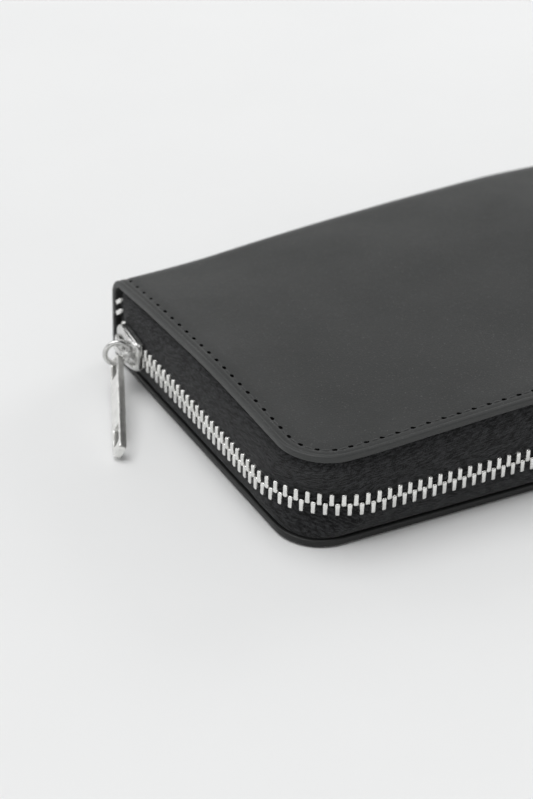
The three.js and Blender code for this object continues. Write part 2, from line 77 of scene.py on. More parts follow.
CHAIN_HALF = 95.3
CHAIN_FRONT = -48.3
CHAIN_RADIUS = 19.5
CHAIN_HEIGHT = 10
CHAIN_HALF_WIDTH = 2.65
TAPE_BACK = 43.5
TAPE_INSET = 1.6
TAPE_HALF_THICKNESS = 0.28
TOOTH_PITCH = 2.5
TOOTH_DEPTH = 2.4
TOOTH_LENGTH = 3.0
TOOTH_WIDTH = 1.08

SLIDER_Y = 33.5
MOUTH_Y = SLIDER_Y + 6.5
COIN_SCALE = 0.85
COIN_CHAIN_Y = -40.2
COIN_CHAIN_HALF = 78
COIN_SLIDER_X = -68
COIN_TAPE_HALF_THICKNESS = 0.22

STITCH_INSET = 2.9
STITCH_PITCH = 3.8
STITCH_GAP = 0.9
THREAD_RADIUS = 0.24
HOLE_HALF_LENGTH = 0.62
HOLE_HALF_WIDTH = 0.48


# ---- mesh building ----

def show(name, data):
    """Puts an object that holds this data into the scene."""
    obj = bpy.data.objects.new(name, data)
    bpy.context.scene.collection.objects.link(obj)
    return obj


def edit_mesh(mesh, change):
    """Runs change on the mesh in its editable form."""
    work = bmesh.new()
    work.from_mesh(mesh)
    change(work)
    work.to_mesh(mesh)
    work.free()


def face_outwards(work):
    bmesh.ops.recalc_face_normals(work, faces=work.faces)


def shade_smooth(mesh, material):
    mesh.polygons.foreach_set("use_smooth", [True] * len(mesh.polygons))
    mesh.materials.clear()
    mesh.materials.append(material)


def describe(piece, slot, body, *nodes):
    """Attaches a piece to the body that carries it, if one does, and hides its CAD nodes; slot is not
    used.
    """
    if body:
        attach(piece, body)
    if nodes:
        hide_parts(*nodes)


def new_object(name, points, faces, material, uvs=None):
    """A smooth shaded mesh from points in millimetres, with faces turned outwards."""
    mesh = bpy.data.meshes.new(name)
    mesh.from_pydata([Vector(p) * MM for p in points], [], faces)
    if uvs:
        layer = mesh.uv_layers.new(name="UVMap")
        for loop in mesh.loops:
            layer.data[loop.index].uv = uvs[loop.vertex_index]
    edit_mesh(mesh, face_outwards)
    shade_smooth(mesh, material)
    return show(name, mesh)


def loft_faces(rings, size, start=0, capped=True):
    """Faces joining closed rings of equal size, with a cap at each end."""
    faces = []
    for ring in range(rings - 1):
        for i in range(size):
            j = (i + 1) % size
            a = start + ring * size
            b = a + size
            faces.append((a + i, a + j, b + j, b + i))
    if capped:
        faces.append(tuple(start + i for i in reversed(range(size))))
        faces.append(tuple(start + (rings - 1) * size + i for i in range(size)))
    return faces


def squared_circle(count, width, depth, width_power, depth_power):
    """Points round a box with very round corners; lower powers give squarer corners."""
    points = []
    for i in range(count):
        angle = 2 * math.pi * (i + 0.5) / count
        points.append((
            signed_power(math.cos(angle), width_power) * width / 2,
            signed_power(math.sin(angle), depth_power) * depth / 2,
        ))
    return points


def signed_power(value, power):
    """A power of a number that keeps its sign."""
    return math.copysign(abs(value) ** power, value)


def smooth_step(value):
    value = min(1.0, max(0.0, value))
    return value * value * (3 - 2 * value)


def through(knots, x):
    """A smooth curve through a few (x, value) knots, level beyond its ends."""
    if x <= knots[0][0]:
        return knots[0][1]
    for i in range(len(knots) - 1):
        if x <= knots[i + 1][0]:
            break
    else:
        return knots[-1][1]
    before = knots[max(i - 1, 0)]
    after = knots[min(i + 2, len(knots) - 1)]
    (x0, v0), (x1, v1) = knots[i], knots[i + 1]
    t = (x - x0) / (x1 - x0)
    m0 = (v1 - before[1]) / (x1 - before[0]) * (x1 - x0)
    m1 = (after[1] - v0) / (after[0] - x0) * (x1 - x0)
    return (
        (2 * t**3 - 3 * t**2 + 1) * v0
        + (t**3 - 2 * t**2 + t) * m0
        + (3 * t**2 - 2 * t**3) * v1
        + (t**3 - t**2) * m1
    )


# ---- materials ----

def material_base(name, colour, roughness, metallic=0.0):
    material = bpy.data.materials.new(name)
    material.use_nodes = True
    tree = material.node_tree
    shader = tree.nodes["Principled BSDF"]
    shader.inputs["Base Color"].default_value = (*colour, 1)
    shader.inputs["Roughness"].default_value = roughness
    shader.inputs["Metallic"].default_value = metallic
    return material, tree, shader


def add_node(tree, kind, **values):
    node = tree.nodes.new(kind)
    for key, value in values.items():
        if key in node.inputs:
            node.inputs[key].default_value = value
        else:
            setattr(node, key, value)
    return node


def object_coordinates(tree):
    return tree.nodes.new("ShaderNodeTexCoord").outputs["Object"]


def noise_texture(tree, coordinates, scale, detail=3.0, roughness=0.55):
    node = add_node(tree, "ShaderNodeTexNoise", Scale=scale, Detail=detail, Roughness=roughness)
    tree.links.new(coordinates, node.inputs["Vector"])
    return node.outputs["Fac"]


def ramp(tree, source, stops):
    """A colour ramp with (position, grey or colour) stops."""
    node = tree.nodes.new("ShaderNodeValToRGB")
    elements = node.color_ramp.elements
    while len(elements) < len(stops):
        elements.new(0.5)
    for element, (position, colour) in zip(elements, stops):
        element.position = position
        if isinstance(colour, (int, float)):
            colour = (colour,) * 3
        element.color = (*colour, 1)
    tree.links.new(source, node.inputs["Fac"])
    return node.outputs["Color"]


def map_value(tree, source, low, high):
    node = add_node(tree, "ShaderNodeMapRange", **{"To Min": low, "To Max": high})
    tree.links.new(source, node.inputs["Value"])
    return node.outputs["Result"]


def maths(tree, operation, *sources):
    node = tree.nodes.new("ShaderNodeMath")
    node.operation = operation
    for socket, source in zip(node.inputs, sources):
        if isinstance(source, (int, float)):
            socket.default_value = source
        else:
            tree.links.new(source, socket)
    return node.outputs["Value"]


def bump(tree, height, distance, strength=1.0, normal=None):
    node = add_node(tree, "ShaderNodeBump", Strength=strength, Distance=distance)
    tree.links.new(height, node.inputs["Height"])
    if normal:
        tree.links.new(normal, node.inputs["Normal"])
    return node.outputs["Normal"]


def make_leather(name, dark, light, roughness, grain_depth, painted_rim_shading=1.7, rim_power=3):
    """Smooth leather: fine pebble grain, faint cloudy colour, and painted light at the rim, where the
    light colour is scaled by a factor: above one it paints a highlight along the edge, below one painted
    shade.
    """
    material, tree, shader = material_base(name, dark, roughness)
    place = object_coordinates(tree)
    cloud = noise_texture(tree, place, 45, 4)
    speck = noise_texture(tree, place, 2600, 2)
    colour = ramp(tree, cloud, [(0.3, dark), (0.7, light)])
    specks = ramp(tree, speck, [(0.62, 0), (0.8, 0.35)])
    mix = add_node(tree, "ShaderNodeMixRGB", blend_type="ADD")
    mix.inputs["Fac"].default_value = 0.25
    tree.links.new(colour, mix.inputs["Color1"])
    tree.links.new(specks, mix.inputs["Color2"])
    edge = add_node(tree, "ShaderNodeAttribute", attribute_name="edge")
    # Painted light at the rim: the edge mask mixes in the light colour scaled up for a painted highlight,
    # or down for painted shade.
    painted_rim_mix = add_node(tree, "ShaderNodeMixRGB", blend_type="MIX")
    painted_rim_mix.inputs["Color2"].default_value = tuple(c * painted_rim_shading for c in light) + (1,)
    rim = maths(tree, "POWER", edge.outputs["Fac"], rim_power)
    tree.links.new(maths(tree, "MULTIPLY", rim, 0.8), painted_rim_mix.inputs["Fac"])
    tree.links.new(mix.outputs["Color"], painted_rim_mix.inputs["Color1"])
    tree.links.new(painted_rim_mix.outputs["Color"], shader.inputs["Base Color"])
    tree.links.new(
        map_value(tree, noise_texture(tree, place, 160, 3), roughness - 0.05, roughness + 0.07),
        shader.inputs["Roughness"],
    )
    cells = add_node(tree, "ShaderNodeTexVoronoi", feature="DISTANCE_TO_EDGE", Scale=1500)
    warp = add_node(tree, "ShaderNodeMixRGB", blend_type="MIX")
    warp.inputs["Fac"].default_value = 0.0006
    tree.links.new(place, warp.inputs["Color1"])
    noisy = add_node(tree, "ShaderNodeTexNoise", Scale=900)
    tree.links.new(place, noisy.inputs["Vector"])
    tree.links.new(noisy.outputs["Color"], warp.inputs["Color2"])
    tree.links.new(warp.outputs["Color"], cells.inputs["Vector"])
    pebbles = ramp(tree, cells.outputs["Distance"], [(0.0, 0), (0.22, 1)])
    first = bump(tree, pebbles, grain_depth * MM, 0.5)
    second = bump(tree, noise_texture(tree, place, 700, 4), grain_depth * 2 * MM, 0.4, first)
    tree.links.new(second, shader.inputs["Normal"])
    shader.inputs["Specular IOR Level"].default_value = 0.36
    return material


def slanted_uv(tree, angle, along, across):
    """UV coordinates turned by an angle, then scaled along and across that direction."""
    turn = add_node(tree, "ShaderNodeMapping", vector_type="POINT")
    turn.inputs["Rotation"].default_value = (0, 0, angle)
    tree.links.new(tree.nodes.new("ShaderNodeTexCoord").outputs["UV"], turn.inputs["Vector"])
    stretch = tree.nodes.new("ShaderNodeMapping")
    stretch.inputs["Scale"].default_value = (along, across, 1)
    tree.links.new(turn.outputs["Vector"], stretch.inputs["Vector"])
    return stretch.outputs["Vector"]


def make_tape():
    """Herringbone zip tape: u runs along the tape and v across it, in millimetres."""
    material, tree, shader = material_base("tape_weave", (0.012, 0.0125, 0.0135), 0.85)
    split = tree.nodes.new("ShaderNodeSeparateXYZ")
    tree.links.new(tree.nodes.new("ShaderNodeTexCoord").outputs["UV"], split.inputs["Vector"])
    u, v = split.outputs["X"], split.outputs["Y"]
    zigzag = maths(tree, "PINGPONG", v, 1.6)
    slanted = maths(tree, "ADD", u, maths(tree, "MULTIPLY", zigzag, 0.9))
    yarn = maths(tree, "SINE", maths(tree, "MULTIPLY", slanted, 2 * math.pi / 0.62))
    cross = maths(tree, "SINE", maths(tree, "MULTIPLY", v, 2 * math.pi / 0.4))
    weave = maths(tree, "ADD", maths(tree, "MULTIPLY", yarn, 0.5), maths(tree, "MULTIPLY", cross, 0.16))
    ribs = noise_texture(tree, slanted_uv(tree, math.radians(27), 0.3, 0.8), 1, 1)
    yarns = noise_texture(tree, slanted_uv(tree, math.radians(8), 0.6, 2.2), 1, 3, 0.7)
    yarns = ramp(tree, yarns, [(0.34, 0), (0.66, 1)])
    height = map_value(tree, weave, 0, 1)
    fuzz = noise_texture(tree, object_coordinates(tree), 3000, 3)
    first = bump(tree, height, 0.04 * MM, 0.9)
    second = bump(tree, yarns, 0.2 * MM, 0.9, bump(tree, ribs, 0.4 * MM, 0.6, first))
    tree.links.new(bump(tree, fuzz, 0.05 * MM, 0.6, second), shader.inputs["Normal"])
    shade = maths(tree, "ADD", maths(tree, "MULTIPLY", weave, 0.12), fuzz)
    shade = maths(tree, "ADD", shade, maths(tree, "MULTIPLY", maths(tree, "SUBTRACT", ribs, 0.5), 1.3))
    shade = maths(tree, "ADD", shade, maths(tree, "MULTIPLY", maths(tree, "SUBTRACT", yarns, 0.5), 0.95))
    dark, light = (0.003, 0.0032, 0.0036), (0.033, 0.034, 0.036)
    tree.links.new(ramp(tree, shade, [(0.2, dark), (0.9, light)]), shader.inputs["Base Color"])
    shader.inputs["Specular IOR Level"].default_value = 0.2
    shader.inputs["Sheen Weight"].default_value = 0.08
    shader.inputs["Sheen Roughness"].default_value = 0.5
    return material


def make_metal(name, colour, roughness, dents):
    """Polished nickel: fine scratches, faint smudges, and shallow dents where asked."""
    material, tree, shader = material_base(name, colour, roughness, 1.0)
    place = object_coordinates(tree)
    smudge = noise_texture(tree, place, 420, 4)
    tint = tuple(c * 0.86 for c in colour)
    tree.links.new(ramp(tree, smudge, [(0.35, tint), (0.65, colour)]), shader.inputs["Base Color"])
    tree.links.new(
        map_value(tree, smudge, roughness - 0.06, roughness + 0.1), shader.inputs["Roughness"]
    )
    stretch = tree.nodes.new("ShaderNodeMapping")
    stretch.inputs["Scale"].default_value = (1, 9, 9)
    tree.links.new(place, stretch.inputs["Vector"])
    scratches = noise_texture(tree, stretch.outputs["Vector"], 900, 3)
    normal = bump(tree, scratches, 0.01 * MM, 0.35)
    if dents:
        normal = bump(tree, noise_texture(tree, place, 620, 1.5), dents * MM, 0.7, normal)
    tree.links.new(normal, shader.inputs["Normal"])
    return material


def make_thread():
    material, tree, shader = material_base("thread", (0.03, 0.031, 0.032), 0.55)
    place = object_coordinates(tree)
    strands = add_node(tree, "ShaderNodeTexWave", Scale=900, Distortion=1.0)
    tree.links.new(place, strands.inputs["Vector"])
    tree.links.new(bump(tree, strands.outputs["Fac"], 0.05 * MM, 0.6), shader.inputs["Normal"])
    shade = ramp(tree, strands.outputs["Fac"], [(0, (0.026, 0.027, 0.027)), (1, (0.042, 0.043, 0.043))])
    tree.links.new(shade, shader.inputs["Base Color"])
    return material


def make_hole_shade():
    """Painted shade for a needle hole: a near-black disc set in the leather, with faint noise in its
    darkness.
    """
    material, tree, shader = material_base("needle_hole_painted_shade", (0.002, 0.002, 0.002), 0.95)
    shade_noise = noise_texture(tree, object_coordinates(tree), 4000, 2)
    tree.links.new(ramp(tree, shade_noise, [(0.3, 0.001), (0.8, 0.004)]), shader.inputs["Base Color"])
    shader.inputs["Specular IOR Level"].default_value = 0.0
    return material


LEATHER_DARK = (0.025, 0.0265, 0.026)
LEATHER_LIGHT = (0.034, 0.0355, 0.035)
# The upper cover's rim is lightened a little, a painted highlight along the edge.
LEATHER_LOOK = make_leather("leather", LEATHER_DARK, LEATHER_LIGHT, 0.42, 0.03, 1.2)
# A shaded copy of the leather for the lower cover: its whole rim band is darkened, painted shade for an
# edge that lies in shadow.
LOWER_LEATHER_SHADED_LOOK = make_leather(
    "leather_lower_painted_shade", LEATHER_DARK, LEATHER_LIGHT, 0.42, 0.03, painted_rim_shading=0.15, rim_power=0.4
)
LINING_LOOK = make_leather("lining", (0.016, 0.017, 0.018), (0.022, 0.023, 0.025), 0.6, 0.04)
TAPE_LOOK = make_tape()
TOOTH_LOOK = make_metal("tooth_metal", (0.88, 0.88, 0.86), 0.25, 0.03)
SLIDER_LOOK = make_metal("slider_metal", (0.68, 0.68, 0.67), 0.2, 0.05)
PULL_LOOK = make_metal("pull_metal", (0.86, 0.86, 0.84), 0.32, 0.12)
THREAD_LOOK = make_thread()
HOLE_SHADE_LOOK = make_hole_shade()


# ---- rounded sheets ----

def round_end(half, front, radius, back, side_cells, arc_cells, front_cells):
    """Points (x, y) from the back of the -X side, round the front, to the +X side's back."""
    corner_y = front + radius
    side = [(-half, back + (corner_y - back) * i / side_cells) for i in range(side_cells)]
    for i in range(arc_cells):
        angle = math.pi * (1 + 0.5 * i / arc_cells)
        side.append((-half + radius * (1 + math.cos(angle)), corner_y + radius * math.sin(angle)))
    points = list(side)
    for i in range(front_cells + 1):
        points.append(((half - radius) * (2 * i / front_cells - 1), front))
    return points + [(-x, y) for x, y in reversed(side)]


def sheet(name, half, front, back, radius, profiles, place, material, cells=(44, 8, 84)):
    """A sheet with two round front corners, a shaped edge and two faces.

    profiles holds (inset, lift) pairs from the edge inwards, one list for each face, which
    share their first pair. The last inset is the corner radius. place(x, t, lift) gives a
    point. The sheet is cut square at t = back.
    """
    side_cells, arc_cells, front_cells = cells
    points = []
    edge = []
    faces = []

    def add(x, t, lift, inset):
        points.append(place(x, t, lift))
        edge.append(max(0.0, 1 - inset / RIM_WIDTH))
        return len(points) - 1

    def ring(inset, lift):
        outline = round_end(half - inset, front + inset, radius - inset, back, *cells)
        return [add(x, t, lift, inset) for x, t in outline]

    shared = ring(*profiles[0][0])
    borders = []
    for profile in profiles:
        rings = [shared] + [ring(*pair) for pair in profile[1:-1]]
        lift = profile[-1][1]
        grid = []
        for j in range(side_cells + 1):
            t = back + (front + radius - back) * j / side_cells
            row = []
            for i in range(front_cells + 1):
                x = (half - radius) * (2 * i / front_cells - 1)
                row.append(add(x, t, lift, radius))
            grid.append(row)
        last = [grid[j][0] for j in range(side_cells)]
        last += [grid[side_cells][0]] * arc_cells
        last += [grid[side_cells][i] for i in range(front_cells)]
        last += [grid[side_cells][front_cells]] * arc_cells
        last += [grid[side_cells - j][front_cells] for j in range(side_cells + 1)]
        rings.append(last)
        for outer, inner in zip(rings, rings[1:]):
            for i in range(len(outer) - 1):
                face = [outer[i], outer[i + 1], inner[i + 1], inner[i]]
                faces.append(face if inner[i] != inner[i + 1] else face[:3])
        for j in range(side_cells):
            for i in range(front_cells):
                faces.append([grid[j][i], grid[j][i + 1], grid[j + 1][i + 1], grid[j + 1][i]])
        borders.append([r[0] for r in rings[:-1]] + grid[0] + [r[-1] for r in reversed(rings[:-1])])
    for corners in zip(borders[0], borders[0][1:], borders[1][1:], borders[1]):
        faces.append(list(dict.fromkeys(corners)))
    obj = new_object(name, points, faces, material)
    attribute = obj.data.attributes.new("edge", "FLOAT", "POINT")
    attribute.data.foreach_set("value", edge)
    return obj


def edge_profiles(thickness, radius, crease=0.0):
    """Profiles for a turned edge, with an optional crease and stitch groove outside."""
    round_off = 0.3 * thickness
    half = thickness / 2
    turn = []
    for i in range(5):
        angle = math.pi / 2 * i / 4
        turn.append((round_off * (1 - math.cos(angle)), round_off * (1 - math.sin(angle))))
    outer = [(0, -half)] + [(inset, -depth) for inset, depth in turn]
    inner = [(0, -half)] + [(inset, depth - thickness) for inset, depth in turn]
    if crease:
        for inset, depth in ((1.0, 0), (1.3, 1), (1.6, 0), (2.2, 0), (2.6, 0.9), (3.2, 0.9), (3.6, 0)):
            outer.append((inset, -crease * depth))
        outer.append((6, 0))
    outer.append((radius, 0))
    inner.append((radius, -thickness))
    return outer, inner


# ---- outer leather ----

# Heights of the upper leather's outer face, along X, at the zip side and at the spine.
FRONT_HEIGHTS = [(-95, 23.1), (-80, 22.8), (-60, 23.8), (-37, 24.8), (0, 25.8), (50, 25.3), (95, 23.3)]
BACK_HEIGHTS = [
    (-95, 22.0), (-84, 22.3), (-70, 23.2), (-44, 25.8), (-15, 27.8), (12, 29), (50, 28), (95, 23),
]
SIDE_BULGE = 1.7
MIDDLE_BULGE = 1.6
RIPPLE = 0.22
SPINE_RADIUS = 4.5
CREASE_DEPTH = 0.13
BEND = 5


def upper_height(x, y):
    """Top of the upper leather: a soft dome between the zip side and the spine."""
    back = BACK - SPINE_RADIUS
    v = min(1.0, max(0.0, (y - FRONT) / (back - FRONT)))
    share = smooth_step(v)
    level = through(FRONT_HEIGHTS, x) * (1 - share) + through(BACK_HEIGHTS, x) * share
    bulge = MIDDLE_BULGE + (SIDE_BULGE - MIDDLE_BULGE) * (abs(x) / HALF) ** 4
    ripple = RIPPLE * noise.noise(Vector((x * 0.045, y * 0.05, 3.1)))
    return level + bulge * math.sin(math.pi * v ** 1.1) + ripple


def lower_height(x, y):
    """Underside of the lower leather: on the table, and a little up at its edges."""
    away = max(abs(x) / HALF, abs(y) / BACK)
    return 0.25 * smooth_step((away - 0.93) / 0.07)


def cover_leather(name, height, up, look):
    """One cover with its half of the spine, as one continuous bent sheet."""
    fold = BACK - SPINE_RADIUS

    def reach(x):
        """How far the flat sheet runs so that its end meets the spine's middle."""
        start = height(x, fold) - up * SPINE_RADIUS
        return fold + SPINE_RADIUS * math.pi / 2 + abs(start - MIDDLE)

    back = reach(0)

    def place(x, t, lift):
        """Lays the flat sheet on the cover and, past the fold, down the spine."""
        if t <= fold:
            return Vector((x, t, height(x, t) + up * lift))
        past = (t - fold) * (reach(x) - fold) / (back - fold)
        angle = min(past / SPINE_RADIUS, math.pi / 2)
        down = max(0.0, past - SPINE_RADIUS * math.pi / 2)
        radius = SPINE_RADIUS + lift
        drop = SPINE_RADIUS - radius * math.cos(angle) + down
        return Vector((x, fold + radius * math.sin(angle), height(x, fold) - up * drop))

    return sheet(
        name, HALF, FRONT, back, CORNER_RADIUS,
        edge_profiles(LEATHER, CORNER_RADIUS, CREASE_DEPTH), place, look, cells=(64, 10, 96),
    )


upper_leather = cover_leather("upper_leather", upper_height, 1, LEATHER_LOOK)
lower_leather = cover_leather("lower_leather", lower_height, -1, LOWER_LEATHER_SHADED_LOOK)
describe(upper_leather, "leather", None, "upper_cover", "spine_leather")
describe(lower_leather, "leather", None, "lower_cover")
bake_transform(upper_leather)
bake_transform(lower_leather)


# ---- stitches ----

def stitch_path():
    """The stitch line round the three zip sides, as a function of the distance along it."""
    outline = round_end(
        HALF - STITCH_INSET, FRONT + STITCH_INSET, CORNER_RADIUS - STITCH_INSET,
        BACK - BEND, 60, 14, 120,
    )
    lengths = [0.0]
    for a, b in zip(outline, outline[1:]):
        lengths.append(lengths[-1] + math.dist(a, b))

    def at(distance):
        i = 0
        while i < len(lengths) - 2 and lengths[i + 1] < distance:
            i += 1
        part = (distance - lengths[i]) / (lengths[i + 1] - lengths[i])
        return Vector(outline[i]).lerp(Vector(outline[i + 1]), part)

    return at, lengths[-1]


def stitch_row(name, height, up, body):
    """Short bowed threads that dive into a needle hole at each end, where a near-black disc paints the
    hole's shade.
    """
    at, total = stitch_path()
    threads = []
    thread_faces = []
    holes = []
    hole_faces = []
    sections = 7
    sides = 6
    hole_sides = 10
    hole_rings = ((-0.3, 0.6), (-0.09, 1.0), (-0.1, 0.55))
    for k in range(int(total / STITCH_PITCH)):
        middle = (k + 0.5) * STITCH_PITCH
        start = len(threads)
        for s in range(sections):
            along = s / (sections - 1) - 0.5
            distance = middle + along * (STITCH_PITCH - STITCH_GAP)
            centre = at(distance)
            ahead = (at(distance + 0.05) - centre).normalized()
            across = Vector((-ahead.y, ahead.x))
            thick = THREAD_RADIUS * math.sqrt(max(0.08, 1 - (2 * along) ** 4))
            rise = -0.17 - 0.3 * (2 * along) ** 2
            base = height(centre.x, centre.y)
            for q in range(sides):
                turn = 2 * math.pi * q / sides
                flat = centre + across * (math.cos(turn) * thick)
                threads.append((flat.x, flat.y, base + up * (rise + math.sin(turn) * thick)))
        thread_faces += loft_faces(sections, sides, start)
        # Each needle hole is a near-black disc just under the surface, painted shade standing in for the
        # hole's shadow.
        start = len(holes)
        hole = at(k * STITCH_PITCH)
        ahead = (at(k * STITCH_PITCH + 0.1) - hole).normalized()
        across = Vector((-ahead.y, ahead.x))
        base = height(hole.x, hole.y)
        for level, size in hole_rings:
            for q in range(hole_sides):
                turn = 2 * math.pi * q / hole_sides
                flat = hole + ahead * (math.cos(turn) * HOLE_HALF_LENGTH * size)
                flat += across * (math.sin(turn) * HOLE_HALF_WIDTH * size)
                holes.append((flat.x, flat.y, base + up * level))
        hole_faces += loft_faces(len(hole_rings), hole_sides, start)
    describe(new_object(name, threads, thread_faces, THREAD_LOOK), "zip_tape", body)
    describe(new_object(name + "_hole_shades", holes, hole_faces, HOLE_SHADE_LOOK), "zip_tape", body)


stitch_row("upper_stitches", upper_height, 1, "upper_half")
stitch_row("lower_stitches", lower_height, -1, "lower_half")


# ---- main zip ----

THROAT_Y = SLIDER_Y + 2
PARTING_Y = SLIDER_Y - 3.5
CHAIN_LENGTH = 2 * (TAPE_BACK - CHAIN_FRONT + CHAIN_HALF) + CHAIN_RADIUS * (math.pi - 4)


def row_spread(y, up):
    """How far a row has moved from its closed place, at y on the slider's side."""
    if y < PARTING_Y:
        return 0.0
    spread = 0.2 * (min(y, THROAT_Y) - PARTING_Y)
    if y > THROAT_Y:
        spread += 0.1 * (min(y, MOUTH_Y) - THROAT_Y)
    if y > MOUTH_Y:
        spread += (1.35 if up > 0 else 0.7) * (y - MOUTH_Y)
    return spread


def tuck(point):
    """How far a row on the slider's side turns inwards beyond the mouth."""
    return 0.45 * max(0.0, point[1] - MOUTH_Y) if point[0] < 0 else 0.0


def chain_point(distance):
    """Point, direction and outward way of the chain's mid-plane at a distance along it."""
    if distance > CHAIN_LENGTH / 2:
        point, ahead = chain_point(CHAIN_LENGTH - distance)
        return Vector((-point.x, point.y)), Vector((ahead.x, -ahead.y))
    corner = Vector((CHAIN_RADIUS - CHAIN_HALF, CHAIN_FRONT + CHAIN_RADIUS))
    side = TAPE_BACK - corner.y
    if distance < side:
        return Vector((-CHAIN_HALF, TAPE_BACK - distance)), Vector((0, -1))
    turn = (distance - side) / CHAIN_RADIUS
    if turn < math.pi / 2:
        out = Vector((-math.cos(turn), -math.sin(turn)))
        return corner + out * CHAIN_RADIUS, Vector((math.sin(turn), -math.cos(turn)))
    along_front = distance - side - CHAIN_RADIUS * math.pi / 2
    return Vector((corner.x + along_front, CHAIN_FRONT)), Vector((1, 0))


def tooth_mesh(length, width, depth):
    """One die-cast tooth about its foot: x along the chain, y outwards, z towards the gap."""
    sections = [
        (0.0, 0.8, 0.8), (0.04, 0.93, 0.93), (0.12, 1.0, 1.0), (0.6, 1.0, 1.0),
        (0.68, 1.06, 1.0), (0.86, 1.1, 0.99), (0.94, 1.0, 0.93), (1.0, 0.72, 0.74),
    ]
    outline = squared_circle(20, 1, 1, 0.4, 0.4)
    points = []
    for height, wide, deep in sections:
        for x, y in outline:
            points.append(Vector((x * wide * width, y * deep * depth, height * length)))
    return points, loft_faces(len(sections), len(outline))


def tooth_row(name, places, scale):
    """Copies of one tooth, one for each (origin, along, outward, towards the gap)."""
    tooth_points, tooth_faces = tooth_mesh(
        TOOTH_LENGTH * scale, TOOTH_WIDTH * scale, TOOTH_DEPTH * scale
    )
    points = []
    faces = []
    for origin, along, outward, inwards in places:
        start = len(points)
        for p in tooth_points:
            points.append(origin + along * p.x + outward * p.y + inwards * p.z)
        faces += [tuple(start + i for i in face) for face in tooth_faces]
    return new_object(name, points, faces, TOOTH_LOOK)


def main_tooth_places(up):
    """Every tooth of one main row, following the row where it leaves the closed chain."""
    def slope_at(flat):
        if flat.x > 0:
            return 0.0
        return (row_spread(flat.y + 0.1, up) - row_spread(flat.y - 0.1, up)) / 0.2

    first_closed = TAPE_BACK - PARTING_Y + (TOOTH_PITCH / 2 if up > 0 else 0)
    distances = []
    distance = first_closed
    while distance > 0.4:
        distances.insert(0, distance)
        slope = slope_at(chain_point(distance)[0])
        distance -= TOOTH_PITCH / math.hypot(1, slope)
    distance = first_closed + TOOTH_PITCH
    while distance < CHAIN_LENGTH - 3:
        distances.append(distance)
        distance += TOOTH_PITCH
    places = []
    for distance in distances:
        flat, ahead = chain_point(distance)
        outward = Vector((ahead.y, -ahead.x, 0))
        spread = row_spread(flat.y, up) if flat.x < 0 else 0.0
        foot = CHAIN_HEIGHT + up * (CHAIN_HALF_WIDTH + spread)
        along = Vector((ahead.x, ahead.y, -up * slope_at(flat))).normalized()
        inwards = along.cross(outward)
        if inwards.z * up > 0:
            inwards = -inwards
        places.append((Vector((flat.x + tuck(flat), flat.y, foot)), along, outward, inwards))
    return places


for half, up in (("lower", -1), ("upper", 1)):
    row = tooth_row(half + "_teeth", main_tooth_places(up), 1)
    describe(row, "zip_metal", half + "_half", half + "_zip_teeth")


def tape_outline(half, front, radius):
    return round_end(half, front, radius, TAPE_BACK, 52, 16, 90)


def outward_at(outline, i):
    before = Vector(outline[max(i - 1, 0)])
    after = Vector(outline[min(i + 1, len(outline) - 1)])
    ahead = (after - before).normalized()
    return Vector((ahead.y, -ahead.x))


def main_tape(half, up):
    """A tape from under the leather's edge, bowed outwards, to the bead at the teeth."""
    edge = tape_outline(HALF - TAPE_INSET, FRONT + TAPE_INSET, CORNER_RADIUS - TAPE_INSET)
    chain = tape_outline(CHAIN_HALF, CHAIN_FRONT, CHAIN_RADIUS)
    steps = 12
    bead = [(-0.75, 0.0), (-0.55, 0.5), (0.0, 0.72), (0.55, 0.5), (0.75, 0.0)]
    points = []
    uvs = []
    distance = 0.0
    for i, (start, end) in enumerate(zip(edge, chain)):
        if i:
            distance += math.dist(chain[i - 1], end)
        out = outward_at(edge, i).to_3d()
        x, y = start
        inner = upper_height(x, y) - LEATHER + 0.15 if up > 0 else lower_height(x, y) + LEATHER - 0.15
        spread = row_spread(end[1] + 0.6, up) if end[0] < 0 else 0.0
        foot_z = CHAIN_HEIGHT + up * (1.45 + spread)
        foot_z = min(foot_z, inner - 0.6) if up > 0 else max(foot_z, inner + 0.6)
        p0 = Vector((x, y, inner))
        p3 = Vector((end[0] + tuck(end), end[1], foot_z))
        wrinkle = 0.35 * noise.noise(Vector((x * 0.11, y * 0.11, 9.0 + up)))
        bow = 1.9 - 1.6 * smooth_step((y - MOUTH_Y + 3) / 5)
        reach = abs(p3.z - p0.z)
        p1 = p0 + out * (bow + wrinkle) + Vector((0, 0, -up * 0.25 * reach))
        p2 = p3 + out * (0.25 + wrinkle) + Vector((0, 0, up * 0.5 * reach))
        outer = []
        for k in range(steps + 1):
            t = k / steps
            rest = 1 - t
            outer.append(p0 * rest**3 + p1 * (3 * t * rest**2) + p2 * (3 * t * t * rest) + p3 * t**3)
        half_way = out * TAPE_HALF_THICKNESS
        section = [p + half_way for p in outer]
        for across, rise in bead:
            section.append(p3 + out * -across + Vector((0, 0, -up * (0.3 + rise))))
        section += [p - half_way for p in reversed(outer)]
        travelled = 0.0
        for k, p in enumerate(section):
            if k:
                travelled += (p - section[k - 1]).length
            points.append(p)
            uvs.append((distance, travelled))
    size = 2 * (steps + 1) + len(bead)
    obj = new_object(half + "_tape", points, loft_faces(len(edge), size), TAPE_LOOK, uvs)
    describe(obj, "zip_tape", half + "_half", half + "_zip_tape")


main_tape("lower", -1)
main_tape("upper", 1)


# ---- flat metal work ----

